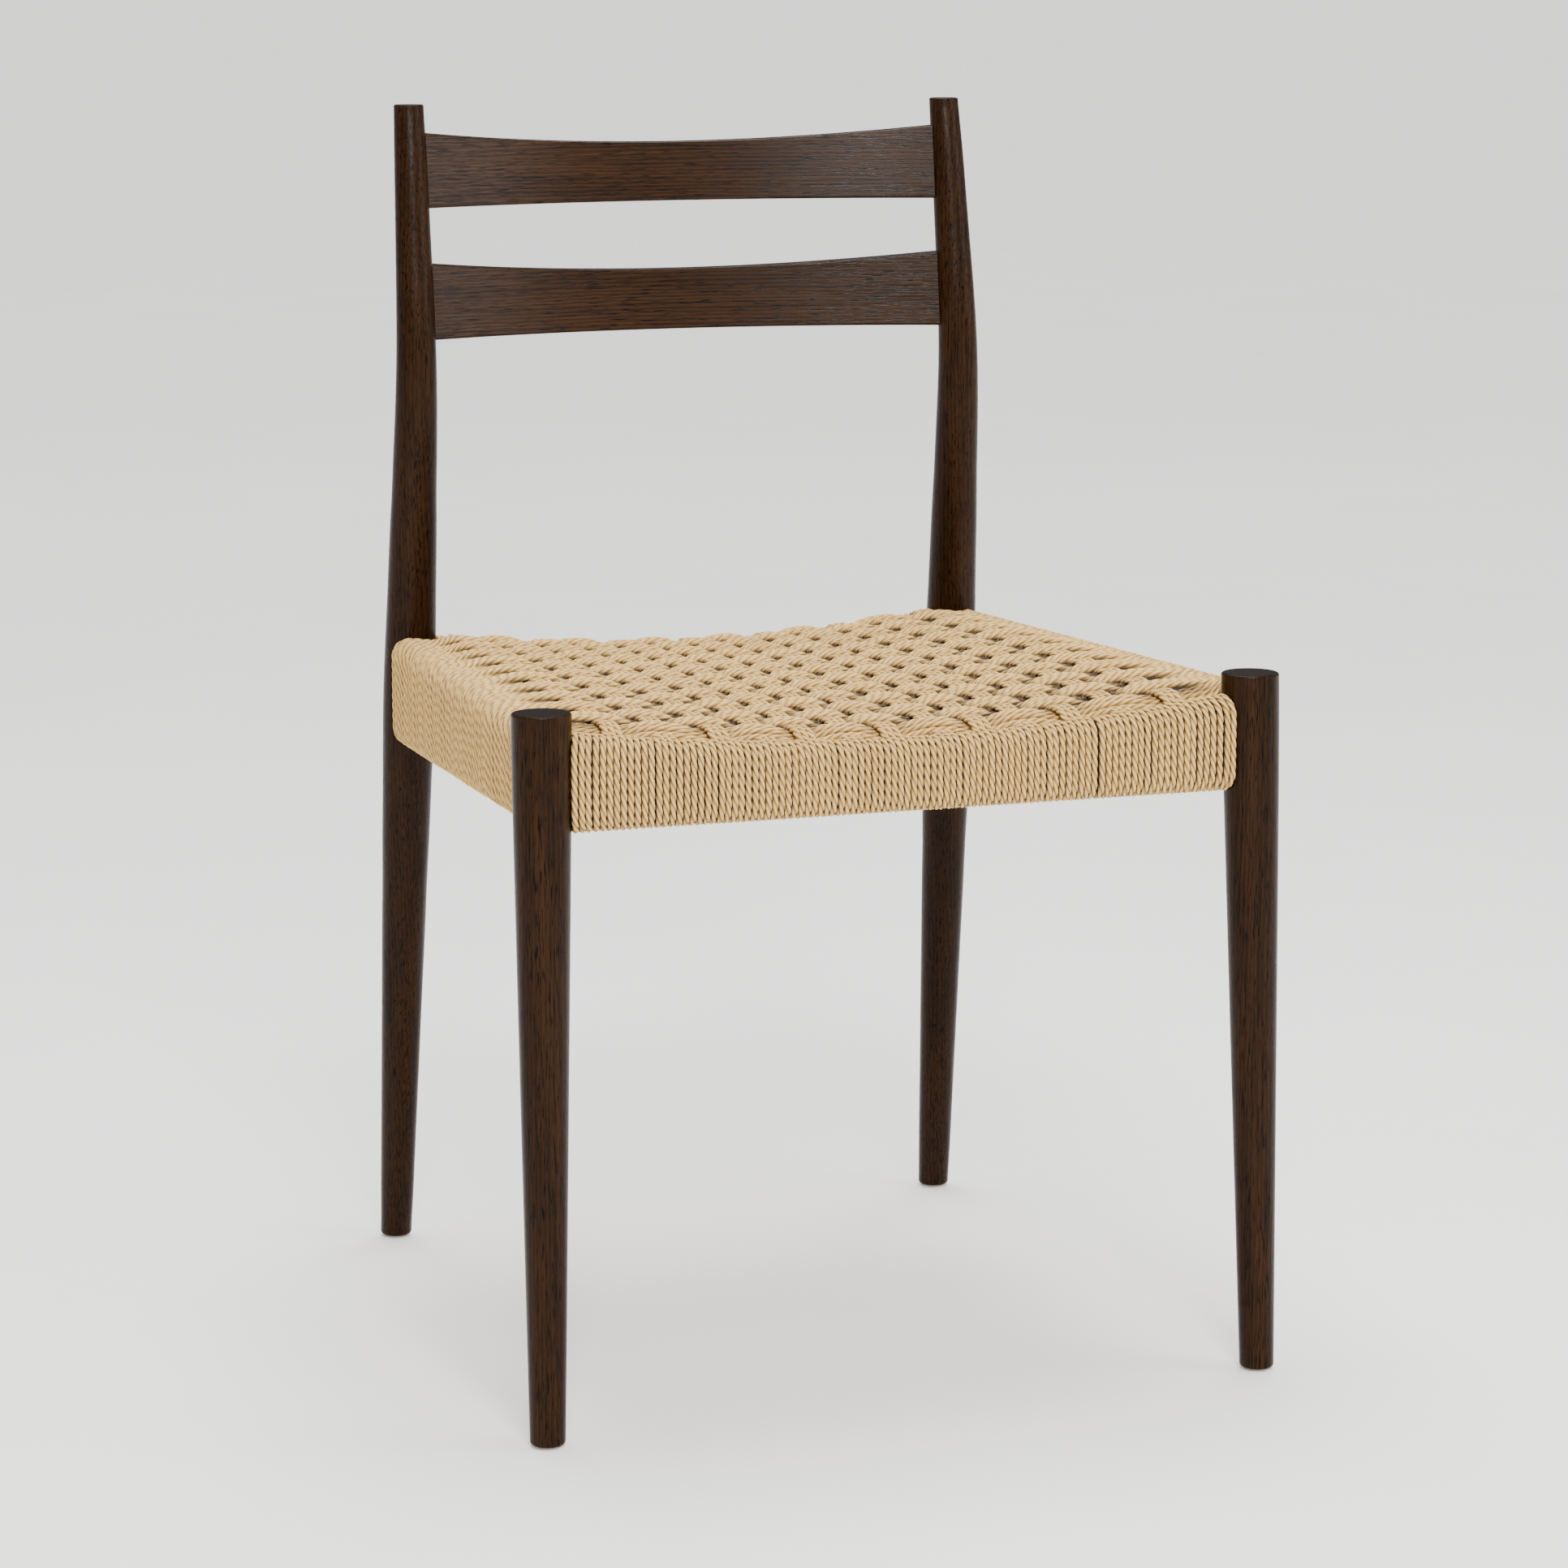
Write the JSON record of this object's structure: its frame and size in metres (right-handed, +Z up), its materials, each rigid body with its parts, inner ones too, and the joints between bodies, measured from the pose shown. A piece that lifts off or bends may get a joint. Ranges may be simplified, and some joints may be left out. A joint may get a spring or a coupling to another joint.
{
  "type": "dining chair",
  "caption": "Armless dining chair: round tapered legs, bent back posts joined by bowed slats, and a dished seat woven in twisted paper cord over wrapped rails.",
  "frame": {"origin": "on the floor, under the middle of the chair's footprint", "axes": "+Z up; +Y towards the back of the chair, so someone sitting in it faces -Y; +X to the right of someone who looks at its front"},
  "size_m": [0.5074, 0.518, 0.8055],
  "materials": {
    "stained_wood": "dark espresso stain under a satin lacquer",
    "paper_cord": "unbleached twisted cord, lightly waxed, matt",
    "nail_steel": "bright drawn wire",
    "glide_plastic": "moulded grey nylon"
  },
  "bodies": {
    "root": {"front_left_leg": "stained_wood", "front_right_leg": "stained_wood", "back_left_post": "stained_wood", "back_right_post": "stained_wood", "front_rail": "stained_wood", "back_rail": "stained_wood", "left_rail": "stained_wood", "right_rail": "stained_wood", "upper_slat": "stained_wood", "lower_slat": "stained_wood", "front_cord_wrap": "paper_cord", "back_cord_wrap": "paper_cord", "left_cord_wrap": "paper_cord", "right_cord_wrap": "paper_cord", "woven_seat_panel": "paper_cord", "front_cord_nails": "nail_steel", "back_cord_nails": "nail_steel", "left_cord_nails": "nail_steel", "right_cord_nails": "nail_steel", "glide_nails": "nail_steel", "front_left_glide": "glide_plastic", "front_right_glide": "glide_plastic", "back_left_glide": "glide_plastic", "back_right_glide": "glide_plastic"}
  },
  "joints": []
}
